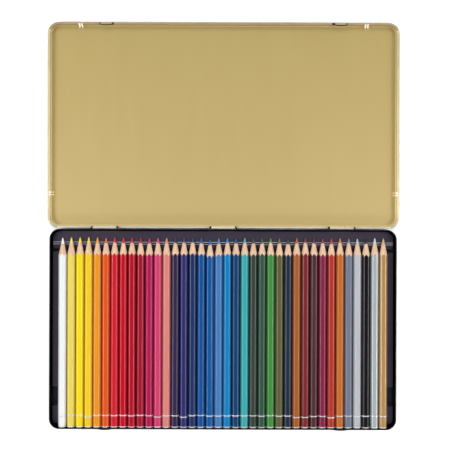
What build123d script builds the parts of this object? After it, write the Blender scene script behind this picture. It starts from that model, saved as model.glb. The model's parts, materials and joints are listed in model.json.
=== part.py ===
from build123d import *
import math
import os

# A flat hinged tin of coloured pencils, lying open.
# Millimetres, +Z up. The origin is the centre of the base's underside, on the table.
# +X runs along the row of pencils and +Y points from the pencils' ends to their points and the hinge.
# The lid is drawn closed, over the base, and turned half a turn about the hinge at the end.

# ---- pencils ----
pencil_colours = [
    "white", "pale_yellow", "yellow", "golden_yellow", "orange", "orange_red", "red", "crimson",
    "dark_red", "deep_red", "magenta", "pink", "salmon", "dark_violet", "indigo", "navy",
    "blue", "mid_blue", "cornflower", "sky_blue", "dark_blue", "teal", "dark_green", "grey_green",
    "green", "olive", "prussian_blue", "brown", "red_brown", "dark_brown", "plum", "brick_red",
    "ochre", "blue_grey", "light_grey", "black", "silver", "gold",
]
pencil_length = 175.0        # point to dipped end
pencil_flats = 6.9           # across flats
pencil_edge_chamfer = 0.3    # taken off the six long edges, along each flat
pencil_gap = 0.32            # between neighbours, edge to edge
core_diameter = 2.9
point_angle = 23.4           # full angle of the sharpened point
point_radius = 0.45          # worn flat of the point
point_sides = 12             # a corner over each edge and each flat; the core has as many
end_bevel_length = 0.8       # dipped end, along the pencil
end_bevel_depth = 0.45       # dipped end, in from the flats

# ---- tinplate, base and lid ----
sheet = 0.3
base_height = 11.5
base_corner_radius = 9.4
base_floor_bend = 1.6        # outer radius between floor and wall
base_curl = 1.2              # diameter of the rim, rolled tight inwards
rim_sides = 8                # flat steps of a rolled rim in one full turn
point_room = 6.25            # points to the rear rim
end_room = 0.15              # dipped ends to the front rim
tray_side_room = 1.0         # tray to the rims at the sides
tray_rear_room = 0.6
tray_front_room = 0.4

# ---- tray, one sheet of formed plastic ----
tray_sheet = 0.5
groove_clearance = 0.2       # pencil's lower flats to the sides of its groove
groove_rise = 2.6            # floor of a groove, where a pencil rests, above the tin's floor
land_width = 1.2             # flat crest between two grooves
shelf_width = 5.15           # beside the first and the last groove
shelf_rise = 5.6             # shelf above the tin's floor
platform_depth = 10.5        # flat behind the points, from the tray's rear edge
platform_rise = 4.6
step_depth = 1.7             # narrow ledge in front of the platform
step_drop = 0.8
point_overhang = 14.3        # from the points to the rear edge of the grooved bed
end_overhang = 3.2           # from the dipped ends to the front edge of the bed
front_bed_length = 15.6
finger_trough_width = 18.3
tray_draft = 8.0             # slope of the formed walls, degrees

# ---- lid ----
lid_side_gap = 0.9           # base wall to the inside of the skirt
lid_front_gap = 1.3
lid_rear_gap = 0.3
lid_roll = 2.7               # diameter of the rim, rolled outwards
lid_bend = 1.2               # outer radius between panel and skirt
lid_corner_relief = 1.1      # the lid's inner corners are tighter than the base's by this
pip_height = 1.05            # stops that rest on the base's rim
pip_reach = 2.3
pip_width = 4.2              # two lobes side by side
pip_gap = 0.15               # stop to rim
front_pip_spacing = 261.6
side_pip_setback = 31.3      # from the rear edge of the lid

# ---- hinges: tongues of the lid curled round bars pressed out of the base ----
hinge_count = 3
hinge_spacing = 109.2
tongue_width = 21.6
bar_radius = 1.0
bar_clearance = 0.25         # bar to tongue, and bar to the lid's rim
tongue_side_gap = 0.3        # tongue to the bar's ends
bar_end_width = 1.0
bar_end_slope = 1.5          # run of the slanted ends along the wall
tongue_relief = 0.8          # slot beside each tongue
window_height = 2.6          # opening left behind each bar

# ---- catches: a bead on the base's front wall snaps over one on the lid's skirt ----
catch_spacing = 216.6
base_bead_length = 16.0
base_bead_rise = 1.05
base_bead_height = 1.8
bead_chamfer = 0.35
lid_bead_length = 12.7
lid_bead_rise = 0.7
bead_gap = 0.25              # between the two beads when the lid is shut
bead_under_rim = 0.2         # base bead to the start of the rolled rim

# ---- worked out from the sizes above ----
core_radius = core_diameter / 2
hexagon_slope = math.tan(math.pi / 6)
hexagon_radius = pencil_flats / 2 / math.cos(math.pi / 6)
pencil_corners = 2 * hexagon_radius - pencil_edge_chamfer
pencil_pitch = pencil_corners + pencil_gap
pencil_count = len(pencil_colours)
row_half_width = (pencil_count - 1) * pencil_pitch / 2
pencil_x = [index * pencil_pitch - row_half_width for index in range(pencil_count)]

groove_reach = hexagon_radius + groove_clearance / math.cos(math.pi / 6)
groove_z = sheet + groove_rise
pencil_axis_z = groove_z + pencil_flats / 2
tray_half_width = row_half_width + groove_reach + shelf_width

base_half_width = tray_half_width + tray_side_room + base_curl
base_depth = base_curl + end_room + pencil_length + point_room + base_curl
rear_face = base_depth / 2
front_face = -base_depth / 2
point_y = rear_face - base_curl - point_room
end_y = point_y - pencil_length

closed_height = base_height + pip_gap + pip_height + sheet
panel_inside_z = closed_height - sheet
hinge_z = closed_height / 2
tongue_inner_radius = bar_radius + bar_clearance
tongue_outer_radius = tongue_inner_radius + sheet
hinge_y = rear_face + lid_rear_gap + tongue_outer_radius
hinge_x = [(index - (hinge_count - 1) / 2) * hinge_spacing for index in range(hinge_count)]

lid_half_width = base_half_width + lid_side_gap
lid_front = front_face - lid_front_gap
lid_rear = rear_face + lid_rear_gap
lid_corner_radius = base_corner_radius - lid_corner_relief
lid_rim_z = hinge_z + bar_radius + bar_clearance

base_bead_top = base_height - base_curl / 2 - bead_under_rim
base_bead_bottom = base_bead_top - base_bead_height
lid_bead_top = base_bead_bottom - bead_gap

tray_rear = rear_face - base_curl - tray_rear_room
tray_front = front_face + base_curl + tray_front_room
tray_corner_radius = base_corner_radius - base_curl - tray_rear_room
tray_floor_z = sheet
shelf_z = sheet + shelf_rise
platform_z = sheet + platform_rise
land_z = pencil_axis_z - (groove_reach - (pencil_pitch - land_width) / 2) / hexagon_slope
bed_rear = point_y - point_overhang
bed_front = end_y + end_overhang
trough_front = bed_front + front_bed_length
trough_rear = trough_front + finger_trough_width

through = 50.0               # longer than any cut is deep


def block(x_low, x_high, y_low, y_high, z_low, z_high):
    """Rectangular block between two opposite corners."""
    corner = Align.MIN
    box = Box(x_high - x_low, y_high - y_low, z_high - z_low, align=(corner, corner, corner))
    return Pos(x_low, y_low, z_low) * box


def outline(half_width, front, rear, radius):
    """Rectangle with round corners, centred in X, between two Y faces."""
    return Pos(0, (front + rear) / 2) * RectangleRounded(2 * half_width, rear - front, radius)


def rim_points(centre, radius, start_angle, turn):
    """Points of a rim's section in flat steps that touch the circle; it starts and ends in the middle of a step."""
    step = 360 / rim_sides
    corner_radius = radius / math.cos(math.radians(step / 2))
    corners = [(corner_radius, start_angle + (index + 0.5) * step) for index in range(round(turn / step))]
    polar = [(radius, start_angle)] + corners + [(radius, start_angle + turn)]
    return [
        (centre[0] + r * math.cos(math.radians(a)), centre[1] + r * math.sin(math.radians(a)))
        for r, a in polar
    ]


def rolled_rim(centre, outer_radius, start_angle, turn):
    """Section of a rim rolled in flat steps: a ring cut off after the given turn."""
    outer = rim_points(centre, outer_radius, start_angle, turn)
    inner = rim_points(centre, outer_radius - sheet, start_angle, turn)
    return make_face(Polyline(outer + inner[::-1], close=True))


def bend_legs(radius):
    """Legs of the flat cut that stands for a bend of this radius and touches its middle."""
    return radius * (2 - math.sqrt(2))


def rolled(centre_u, centre_v, outer_radius, start_angle, turn):
    """Section of sheet rolled round a centre: a ring cut off after the given turn."""
    centre = (centre_u, centre_v)
    inner_radius = outer_radius - sheet
    outer_arc = CenterArc(centre, outer_radius, start_angle, turn)
    inner_arc = CenterArc(centre, inner_radius, start_angle, turn)
    first_end = Line(outer_arc @ 0, inner_arc @ 0)
    last_end = Line(outer_arc @ 1, inner_arc @ 1)
    return make_face([outer_arc, last_end, inner_arc, first_end])


def rim_ring(section, half_width, front, rear, radius):
    """Section (outward distance, height) carried round the outline of a pan."""
    path = outline(half_width, front, rear, radius).face().outer_wire()
    start = path @ 0
    up = Vector(0, 0, 1)
    outward = (path % 0).cross(up)
    if outward.dot(start - Vector(0, (front + rear) / 2, 0)) < 0:
        outward = outward * -1
    plane = Plane(origin=start, x_dir=outward, z_dir=outward.cross(up))
    return sweep(plane * section, path=path)


def along_x(section, x_low, x_high):
    """Section drawn as (Y, Z), made into a solid between two X faces."""
    plane = Plane(origin=(x_low, 0, 0), x_dir=(0, 1, 0), z_dir=(1, 0, 0))
    return extrude(plane * section, x_high - x_low)


def crescent(length, rise, height):
    """Bead pressed out of a wall: bulges to +Y from Y = 0, rooted in the sheet behind it."""
    bulge = ThreePointArc((-length / 2, 0), (0, rise), (length / 2, 0))
    root = Polyline((length / 2, 0), (length / 2, -sheet), (-length / 2, -sheet), (-length / 2, 0))
    bead = extrude(make_face([bulge, root]), height)
    edges = bead.edges().filter_by(GeomType.CIRCLE)
    return chamfer(edges, min(bead_chamfer, height / 3, rise / 2))


def make_base():
    """Pan of tinplate with an inward rolled rim, three hinge bars and two catch beads."""
    wall_top = base_height - base_curl / 2
    outside = extrude(outline(base_half_width, front_face, rear_face, base_corner_radius), wall_top)
    outside = chamfer(outside.faces().sort_by(Axis.Z)[0].edges(), bend_legs(base_floor_bend))
    inside_outline = outline(
        base_half_width - sheet, front_face + sheet, rear_face - sheet, base_corner_radius - sheet)
    inside = Pos(0, 0, sheet) * extrude(inside_outline, wall_top)
    inside = chamfer(inside.faces().sort_by(Axis.Z)[0].edges(), bend_legs(base_floor_bend - sheet))
    base = outside - inside
    curl = make_face(Polyline(rim_points((-base_curl / 2, wall_top), base_curl / 2, 0, 360), close=True))
    base += rim_ring(curl, base_half_width, front_face, rear_face, base_corner_radius)
    bar_end = tongue_width / 2 + tongue_side_gap
    for x in hinge_x:
        base -= block(
            x - bar_end - bar_end_slope, x + bar_end + bar_end_slope,
            rear_face - 2 * sheet, rear_face + sheet,
            hinge_z - window_height / 2, hinge_z + window_height / 2)
        base += hinge_bar(x, bar_end)
    for side in (-1, 1):
        bead = crescent(base_bead_length, base_bead_rise, base_bead_height)
        base += Pos(side * catch_spacing / 2, front_face, base_bead_bottom) * Rot(0, 0, 180) * bead
    return base


def hinge_bar(x, bar_end):
    """Round bar that stands out from the rear wall on two slanted ends."""
    reach = bar_end + bar_end_width
    bar = along_x(Pos(hinge_y, hinge_z) * Circle(bar_radius), x - reach, x + reach)
    for side in (-1, 1):
        plan = make_face(Polyline(
            (x + side * bar_end, hinge_y),
            (x + side * reach, hinge_y),
            (x + side * (reach + bar_end_slope), rear_face - sheet),
            (x + side * (bar_end + bar_end_slope), rear_face - sheet),
            close=True))
        bar += extrude(Pos(0, 0, hinge_z - bar_radius) * plan, 2 * bar_radius)
    return bar


def make_closed_lid():
    """Pan of tinplate, open side down, with an outward rolled rim, tongues, stops and catch beads."""
    skirt_end = lid_rim_z + lid_roll / 2
    outer_outline = outline(
        lid_half_width + sheet, lid_front - sheet, lid_rear + sheet, lid_corner_radius + sheet)
    outside = Pos(0, 0, skirt_end) * extrude(outer_outline, closed_height - skirt_end)
    outside = chamfer(outside.faces().sort_by(Axis.Z)[-1].edges(), bend_legs(lid_bend))
    inner_outline = outline(lid_half_width, lid_front, lid_rear, lid_corner_radius)
    inside = Pos(0, 0, skirt_end) * extrude(inner_outline, panel_inside_z - skirt_end)
    inside = chamfer(inside.faces().sort_by(Axis.Z)[-1].edges(), bend_legs(lid_bend - sheet))
    lid = outside - inside
    roll = rolled_rim((lid_roll / 2, skirt_end), lid_roll / 2, 180, 270)
    lid += rim_ring(roll, lid_half_width, lid_front, lid_rear, lid_corner_radius)
    slot_top = lid_rim_z + lid_roll
    for x in hinge_x:
        slot = tongue_width / 2 + tongue_relief
        lid -= block(
            x - slot, x + slot, lid_rear - sheet, lid_rear + 2 * lid_roll, lid_rim_z - sheet, slot_top)
        lid += tongue(x, slot_top)
    for side in (-1, 1):
        front_pip = Pos(side * front_pip_spacing / 2, lid_front, 0) * stop_pip()
        side_pip_y = lid_rear + lid_roll - side_pip_setback
        side_pip = Pos(side * lid_half_width, side_pip_y, 0) * Rot(0, 0, side * 90) * stop_pip()
        bead_height = lid_bead_top - lid_rim_z
        bead = crescent(lid_bead_length, lid_bead_rise, bead_height)
        lid += [front_pip, side_pip, Pos(side * catch_spacing / 2, lid_front, lid_rim_z) * bead]
    return lid


def tongue(x, top):
    """Strip of the rear skirt that runs down and three quarters round a hinge bar."""
    strip = block(
        x - tongue_width / 2, x + tongue_width / 2, lid_rear, lid_rear + sheet, hinge_z, top + sheet)
    curl = along_x(
        rolled(hinge_y, hinge_z, tongue_outer_radius, 180, 270), x - tongue_width / 2, x + tongue_width / 2)
    return strip + curl


def stop_pip():
    """Pair of round-nosed lobes that reach to +Y from the skirt, just under the panel."""
    lobe_radius = pip_width / 4
    lobes = Sketch()
    for side in (-1, 1):
        nose = Pos(side * lobe_radius, pip_reach - lobe_radius) * Circle(lobe_radius)
        neck_length = pip_reach - lobe_radius + sheet
        neck = Pos(side * lobe_radius, neck_length / 2 - sheet) * Rectangle(2 * lobe_radius, neck_length)
        lobes += [nose, neck]
    return Pos(0, 0, panel_inside_z - pip_height) * extrude(lobes, pip_height + sheet / 2)


def make_lid():
    """The lid as it lies open, half a turn about the hinge line from closed."""
    return Pos(0, hinge_y, hinge_z) * Rot(180, 0, 0) * Pos(0, -hinge_y, -hinge_z) * make_closed_lid()


def tray_plan(inset):
    """Outline of the tray, drawn in by the inset."""
    return outline(
        tray_half_width - inset, tray_front + inset, tray_rear - inset, tray_corner_radius - inset)


def ridge(rear, front, top, inset):
    """Raised part of the tray across its width, with sloping faces, drawn in by the inset."""
    slope = math.tan(math.radians(tray_draft))
    wall = inset / math.cos(math.radians(tray_draft))
    top_drop = inset * slope
    foot = (top - tray_floor_z) * slope
    section = make_face(Polyline(
        (rear + top_drop - wall, top - inset),
        (front - top_drop + wall, top - inset),
        (front - foot + wall, tray_floor_z),
        (rear + foot - wall, tray_floor_z),
        close=True))
    solid = along_x(section, -tray_half_width, tray_half_width)
    return solid & extrude(tray_plan(inset), shelf_z + tray_sheet)


def groove_half_width(z, inset):
    """Half width at a height of the groove that fits the lower half of a pencil, enlarged by the inset."""
    return groove_reach + (z - pencil_axis_z) * hexagon_slope + inset / math.cos(math.pi / 6)


def grooves(inset):
    """Space of the pencil grooves and what is above them, enlarged by the inset."""
    floor_z = groove_z - inset
    crest_z = land_z - inset
    top_z = shelf_z + tray_sheet
    points = []
    for x in pencil_x:
        floor_x = groove_half_width(floor_z, inset)
        crest_x = groove_half_width(crest_z, inset)
        points += [(x - crest_x, crest_z), (x - floor_x, floor_z), (x + floor_x, floor_z), (x + crest_x, crest_z)]
    top_x = row_half_width + groove_half_width(top_z, inset)
    points[0] = (-top_x, top_z)
    points[-1] = (top_x, top_z)
    plane = Plane(origin=(0, bed_rear + point_overhang / 2, 0), x_dir=(1, 0, 0), z_dir=(0, -1, 0))
    space = plane * make_face(Polyline(points, close=True))
    return extrude(space, bed_rear - tray_front + point_overhang)


def tray_body(inset):
    """Everything under the tray's top face, drawn in by the inset: platform, ledge and grooved beds."""
    behind = tray_rear + through
    platform_front = tray_rear - platform_depth
    platform = ridge(behind, platform_front, platform_z, inset)
    ledge = ridge(behind, platform_front - step_depth, platform_z - step_drop, inset)
    rear_bed = ridge(bed_rear, trough_rear, shelf_z, inset)
    front_bed = ridge(trough_front, bed_front, shelf_z, inset)
    beds = rear_bed + front_bed - grooves(inset)
    return platform + ledge + beds


def make_tray():
    """Formed sheet: floor, platform behind the points and two grooved beds with a trough between."""
    floor = Pos(0, 0, tray_floor_z) * extrude(tray_plan(0), tray_sheet)
    return floor + tray_body(0) - tray_body(tray_sheet)


def sharpened_blank():
    """Many-sided envelope of the pencil about Y, from the point at Y = 0 towards -Y."""
    blank_radius = pencil_corners / 2 + pencil_gap
    point_length = (blank_radius - point_radius) / math.tan(math.radians(point_angle / 2))
    to_flat = math.cos(math.pi / point_sides)
    tip = point_radius * to_flat
    reach = blank_radius * to_flat
    section = make_face(Polyline(
        (-tip, 0),
        (tip, 0),
        (reach, -point_length),
        (reach, -pencil_length),
        (-reach, -pencil_length),
        (-reach, -point_length),
        close=True))
    slab = Rot(0, 180 / point_sides, 0) * extrude(section, blank_radius, both=True)
    blank = slab
    for side in range(1, point_sides // 2):
        blank = blank & Rot(0, side * 360 / point_sides, 0) * slab
    return blank


def make_pencil():
    """Wood casing and colour core, two solids, with the point at the origin and the pencil along -Y."""
    hexagon = chamfer(RegularPolygon(pencil_flats / 2, 6, major_radius=False).vertices(), pencil_edge_chamfer)
    across = Plane(origin=(0, 0, 0), x_dir=(1, 0, 0), z_dir=(0, -1, 0))
    rod = extrude(across * hexagon, pencil_length)
    dipped_end = rod.faces().sort_by(Axis.Y)[0]
    rod = chamfer(dipped_end.edges(), end_bevel_length, end_bevel_depth, reference=dipped_end)
    bore = extrude(across * RegularPolygon(core_radius, point_sides, major_radius=True), pencil_length)
    blank = sharpened_blank()
    casing = rod & blank - bore
    core = bore & blank
    return casing, core


os.makedirs("parts", exist_ok=True)

base_tin = make_base()
lid = make_lid()
pencil_tray = make_tray()
casing, core = make_pencil()

export_step(base_tin, "parts/base_tin.step")
export_step(lid, "parts/lid.step")
export_step(pencil_tray, "parts/pencil_tray.step")
for number, (colour, x) in enumerate(zip(pencil_colours, pencil_x), start=1):
    place = Pos(x, point_y, pencil_axis_z)
    pencil = Compound(children=[place * casing, place * core])
    export_step(pencil, f"parts/pencil_{number:02d}_{colour}.step")

print(f"base {2 * base_half_width:.2f} x {base_depth:.2f} x {base_height:.2f}")
print(f"lid {2 * (lid_half_width + lid_roll):.2f} x {lid_rear - lid_front + 2 * lid_roll:.2f}")
print(f"closed height {closed_height:.2f}, pitch {pencil_pitch:.3f}, pencil axis z {pencil_axis_z:.3f}")
print(f"hinge y {hinge_y:.3f}, hinge z {hinge_z:.3f}")
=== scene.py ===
# %% [markdown]
# # An open tin of thirty-eight coloured pencils
#
# The object lies open on a table: a shallow pressed pan with a rolled rim, a lid hinged to
# its rear wall, a formed plastic tray in the pan, and a row of pencils in the tray. The
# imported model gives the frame: metres, +Z up, +X along the row of pencils and +Y from the
# pencils' ends to their points. The cells below make one piece or one finish each.

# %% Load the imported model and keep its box
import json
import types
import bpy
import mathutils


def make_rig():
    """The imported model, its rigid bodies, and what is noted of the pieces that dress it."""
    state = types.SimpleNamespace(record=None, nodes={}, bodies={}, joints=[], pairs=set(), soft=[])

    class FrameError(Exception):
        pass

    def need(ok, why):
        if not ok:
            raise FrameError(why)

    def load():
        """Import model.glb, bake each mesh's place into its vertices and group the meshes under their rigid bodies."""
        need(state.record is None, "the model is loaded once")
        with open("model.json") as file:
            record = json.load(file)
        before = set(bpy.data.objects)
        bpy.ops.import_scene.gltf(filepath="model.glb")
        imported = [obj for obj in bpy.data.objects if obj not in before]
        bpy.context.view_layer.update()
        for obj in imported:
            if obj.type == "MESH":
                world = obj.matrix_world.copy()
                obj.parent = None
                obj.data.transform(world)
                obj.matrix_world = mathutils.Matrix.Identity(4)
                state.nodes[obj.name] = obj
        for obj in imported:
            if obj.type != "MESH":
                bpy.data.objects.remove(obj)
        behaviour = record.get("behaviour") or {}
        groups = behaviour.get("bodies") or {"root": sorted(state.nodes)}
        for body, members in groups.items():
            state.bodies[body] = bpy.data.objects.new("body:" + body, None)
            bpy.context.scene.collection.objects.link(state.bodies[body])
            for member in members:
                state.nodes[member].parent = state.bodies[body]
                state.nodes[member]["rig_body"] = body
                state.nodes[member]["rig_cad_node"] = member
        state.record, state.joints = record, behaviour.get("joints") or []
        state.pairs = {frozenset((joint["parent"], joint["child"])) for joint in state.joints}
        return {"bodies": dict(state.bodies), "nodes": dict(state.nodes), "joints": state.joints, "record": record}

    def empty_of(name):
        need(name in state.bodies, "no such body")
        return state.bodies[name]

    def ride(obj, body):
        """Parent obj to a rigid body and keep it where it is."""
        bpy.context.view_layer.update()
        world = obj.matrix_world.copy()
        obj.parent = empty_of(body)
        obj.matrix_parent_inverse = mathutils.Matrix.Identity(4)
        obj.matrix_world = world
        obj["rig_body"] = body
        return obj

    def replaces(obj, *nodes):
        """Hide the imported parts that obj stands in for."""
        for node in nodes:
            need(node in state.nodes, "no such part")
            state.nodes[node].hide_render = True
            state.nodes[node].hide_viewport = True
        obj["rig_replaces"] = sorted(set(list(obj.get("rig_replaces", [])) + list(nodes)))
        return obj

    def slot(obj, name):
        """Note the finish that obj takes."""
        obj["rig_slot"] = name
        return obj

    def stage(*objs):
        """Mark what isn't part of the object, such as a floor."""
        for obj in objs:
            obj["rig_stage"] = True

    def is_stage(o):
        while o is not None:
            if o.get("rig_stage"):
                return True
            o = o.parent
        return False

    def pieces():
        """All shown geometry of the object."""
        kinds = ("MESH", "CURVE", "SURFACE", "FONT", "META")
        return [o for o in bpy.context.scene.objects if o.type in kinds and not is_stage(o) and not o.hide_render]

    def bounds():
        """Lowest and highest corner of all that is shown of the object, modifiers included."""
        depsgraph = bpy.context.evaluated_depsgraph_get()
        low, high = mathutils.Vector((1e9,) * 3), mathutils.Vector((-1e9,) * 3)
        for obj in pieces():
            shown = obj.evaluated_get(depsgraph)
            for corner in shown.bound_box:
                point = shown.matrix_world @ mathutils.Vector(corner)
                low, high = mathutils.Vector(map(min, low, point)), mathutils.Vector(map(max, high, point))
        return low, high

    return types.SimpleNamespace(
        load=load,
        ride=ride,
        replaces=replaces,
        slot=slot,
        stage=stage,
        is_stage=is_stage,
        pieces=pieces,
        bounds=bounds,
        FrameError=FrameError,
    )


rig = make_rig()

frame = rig.load()

import json
import math

import bmesh
import bpy
import numpy as np

cad_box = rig.bounds()
print("packed model:", len(frame["nodes"]), "nodes,", len(frame["joints"]), "joints")

# %% [markdown]
# ## From arrays to pieces
#
# A pressed pan, a formed sheet and a pencil are all surfaces over a grid of rows and
# columns, so each shape below is worked out as an array of points in millimetres. The
# object stays at the origin and its place is in its mesh, as the frame wants it. Corners
# that fall on each other are merged, which closes the seams and the poles.

# %% Make an object from a grid's points and faces
mm = 0.001


def make_piece(name, points, faces, finishes, finish_of_face, crease=38.0, weld=0.002):
    """Points in millimetres and faces of four corners become an object at the origin, in metres.

    Corners closer than weld are merged; edges that turn by more than crease degrees stay sharp.
    """
    mesh = bpy.data.meshes.new(name)
    mesh.from_pydata((points.reshape(-1, 3) * mm).tolist(), [], faces.tolist())
    mesh.polygons.foreach_set("material_index", finish_of_face.astype(np.int32))
    work = bmesh.new()
    work.from_mesh(mesh)
    bmesh.ops.remove_doubles(work, verts=work.verts, dist=weld * mm)
    loose_edges = sum(len(edge.link_faces) != 2 for edge in work.edges)
    work.to_mesh(mesh)
    work.free()
    mesh.polygons.foreach_set("use_smooth", np.ones(len(mesh.polygons), dtype=bool))
    mesh.set_sharp_from_angle(angle=math.radians(crease))
    for finish in finishes:
        mesh.materials.append(finish)
    piece = bpy.data.objects.new(name, mesh)
    bpy.context.scene.collection.objects.link(piece)
    print(f"{name}: {len(mesh.polygons)} faces, {loose_edges} edges without two faces")
    return piece


def cells(rows, columns, closed):
    """Corners of every cell of a grid, (i, j), (i, j+1), (i+1, j+1), (i+1, j).

    closed joins the last column to the first.
    """
    i = np.arange(rows - 1)[:, None]
    j = np.arange(columns if closed else columns - 1)[None, :]
    right = (j + 1) % columns
    corners = (i * columns + j, i * columns + right, (i + 1) * columns + right, (i + 1) * columns + j)
    return np.stack(np.broadcast_arrays(*corners), axis=-1)


# %% [markdown]
# Tinplate and formed plastic have a thickness, so each sheet is two grids over each other:
# the under skin keeps the cells' order and the over skin turns it round. Wherever a cell
# that is kept borders on a hole or on the end of the grid, a narrow face closes the edge.

# %% A sheet with two skins
def thick_sheet(under, over, keep, closed=True, pole=True):
    """Faces of a sheet between two grids of points: under as ordered, over reversed, edges closed.

    Returns points, faces, the side of each face (0 under, 1 over, 2 edge) and its grid row.
    """
    rows, columns = under.shape[:2]
    quads = cells(rows, columns, closed)
    shift = rows * columns
    above = np.pad(keep, ((1, 0), (0, 0)))[:-1]
    below = np.pad(keep, ((0, 1), (0, 0)))[1:]
    left = np.roll(keep, 1, axis=1) if closed else np.pad(keep, ((0, 0), (1, 0)))[:, :-1]
    right = np.roll(keep, -1, axis=1) if closed else np.pad(keep, ((0, 0), (0, 1)))[:, 1:]
    if pole:
        above[0] = True
    a, b, c, d = (quads[..., corner] for corner in range(4))
    parts = [quads[keep], quads[keep][:, ::-1] + shift]
    for border, first, second in (
            (keep & ~above, b, a), (keep & ~below, d, c), (keep & ~left, a, d), (keep & ~right, c, b)):
        parts.append(np.stack([first, second, second + shift, first + shift], axis=-1)[border])
    faces = np.concatenate(parts)
    side = np.concatenate([np.full(len(part), min(index, 2)) for index, part in enumerate(parts)])
    row = (faces.min(axis=1) % shift) // columns
    return np.concatenate([under.reshape(-1, 3), over.reshape(-1, 3)]), faces, side, row


# %% [markdown]
# ## Carrying a section round a pan
#
# A press draws the pan in one stroke, so its wall has the same section all the way round.
# The section is a list of (distance outwards, height), and the outline is a rectangle with
# round corners, walked anticlockwise. Each point of the surface is the outline's point,
# moved outwards by the section's distance. Beads, stops and hinge tongues then only change
# the section in their own columns.

# %% Outline, section and floor
def smooth(value):
    """Soft step from 0 to 1: 3t^2 - 2t^3 with t held between 0 and 1."""
    t = np.clip(value, 0.0, 1.0)
    return t * t * (3.0 - 2.0 * t)


def arc(centre, radius, start, end, steps):
    """Points centre + radius * (cos a, sin a), with a from start to end in degrees."""
    angle = np.radians(np.linspace(start, end, steps + 1))
    return np.stack([centre[0] + radius * np.cos(angle), centre[1] + radius * np.sin(angle)], axis=-1)


def pan_outline(half_width, front, rear, radius, front_x, rear_x, side_y, corner_steps=12):
    """Rectangle with round corners, anticlockwise from the front left: points and outward directions."""
    inner = half_width - radius
    front_x = np.unique(front_x[np.abs(front_x) < inner - 0.05].round(3))
    rear_x = np.unique(rear_x[np.abs(rear_x) < inner - 0.05].round(3))[::-1]
    side_y = np.unique(side_y[(side_y > front + radius + 0.05) & (side_y < rear - radius - 0.05)].round(3))
    runs = [
        (np.stack([front_x, np.full_like(front_x, front)], -1), (0.0, -1.0)),
        (np.stack([np.full_like(side_y, half_width), side_y], -1), (1.0, 0.0)),
        (np.stack([rear_x, np.full_like(rear_x, rear)], -1), (0.0, 1.0)),
        (np.stack([np.full_like(side_y, -half_width), side_y[::-1]], -1), (-1.0, 0.0)),
    ]
    centres = [(inner, front + radius), (inner, rear - radius), (-inner, rear - radius), (-inner, front + radius)]
    points, outward = [], []
    for quarter, ((run, direction), centre) in enumerate(zip(runs, centres)):
        turn = arc((0.0, 0.0), 1.0, 90 * quarter - 90, 90 * quarter, corner_steps)
        points += [run, np.array(centre) + radius * turn]
        outward += [np.tile(direction, (len(run), 1)), turn]
    return np.concatenate(points), np.concatenate(outward)


def carried(outline, outward, u, z):
    """Section carried round an outline: outline + u * outward, at height z; one row per section point."""
    u, z = np.broadcast_arrays(u, z)
    u = np.broadcast_to(u, (len(u), len(outline)))
    z = np.broadcast_to(z, u.shape)
    plan = outline[None] + u[..., None] * outward[None]
    return np.concatenate([plan, z[..., None]], axis=-1)


def floor_rows(ring, middle, shares):
    """Rows of a flat floor, middle + share * (ring - middle), from the pole at share 0 outwards."""
    centre = np.array([middle[0], middle[1], 0.0]) + ring[:1, :] * np.array([0.0, 0.0, 1.0])
    return centre + np.asarray(shares)[:, None, None] * (ring[None] - centre)


def around(centres, offsets):
    """Stations at the same offsets round several centres."""
    return (np.asarray(centres)[:, None] + np.asarray(offsets)[None]).ravel()


# %% [markdown]
# ## Finishes: what is uneven in a real surface
#
# Nothing here is one flat colour. Rolled tin and sprayed lacquer drift a little in tone
# over centimetres, wood and drawn surfaces have streaks along their length, and moulded or
# sprayed surfaces have a fine grain that breaks up the gloss. These are three node groups,
# built once. They put out only masks and heights, and each material uses them with its own
# values.

# %% Helpers for nodes
def add_node(tree, kind, inputs=None, **settings):
    """Adds a node, sets its settings, and sets or links its inputs by name or number."""
    made = tree.nodes.new(kind)
    for key, value in settings.items():
        setattr(made, key, value)
    for key, value in (inputs or {}).items():
        if isinstance(value, bpy.types.NodeSocket):
            tree.links.new(value, made.inputs[key])
        else:
            made.inputs[key].default_value = value
    return made


def mixed(tree, factor, first, second, blend="MIX"):
    """Colour between first and second by a factor, in the given blend."""
    return add_node(tree, "ShaderNodeMix", {0: factor, 6: first, 7: second},
                    data_type="RGBA", blend_type=blend, clamp_factor=True).outputs[2]


def linear(red, green, blue):
    """Screen colour (0 to 255) as linear light, c/12.92 or ((c + 0.055)/1.055)^2.4, with alpha 1."""
    c = np.array([red, green, blue]) / 255.0
    light = np.where(c <= 0.04045, c / 12.92, ((c + 0.055) / 1.055) ** 2.4)
    return (*light.tolist(), 1.0)


def seen(red, green, blue):
    """Base colour that an upward face needs to look like a screen colour where white paper is 1.6 times too bright."""
    return (*(value / 1.6 for value in linear(red, green, blue)[:3]), 1.0)


def pattern_group(name, inputs):
    """Empty group with a Vector and float inputs, and the outputs Mask (0 to 1) and Height."""
    group = bpy.data.node_groups.new(name, "ShaderNodeTree")
    group.interface.new_socket("Vector", in_out="INPUT", socket_type="NodeSocketVector")
    for label, value in inputs.items():
        socket = group.interface.new_socket(label, in_out="INPUT", socket_type="NodeSocketFloat")
        socket.default_value = value
    group.interface.new_socket("Mask", in_out="OUTPUT", socket_type="NodeSocketFloat")
    group.interface.new_socket("Height", in_out="OUTPUT", socket_type="NodeSocketFloat")
    return group, group.nodes.new("NodeGroupInput"), group.nodes.new("NodeGroupOutput")


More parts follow.
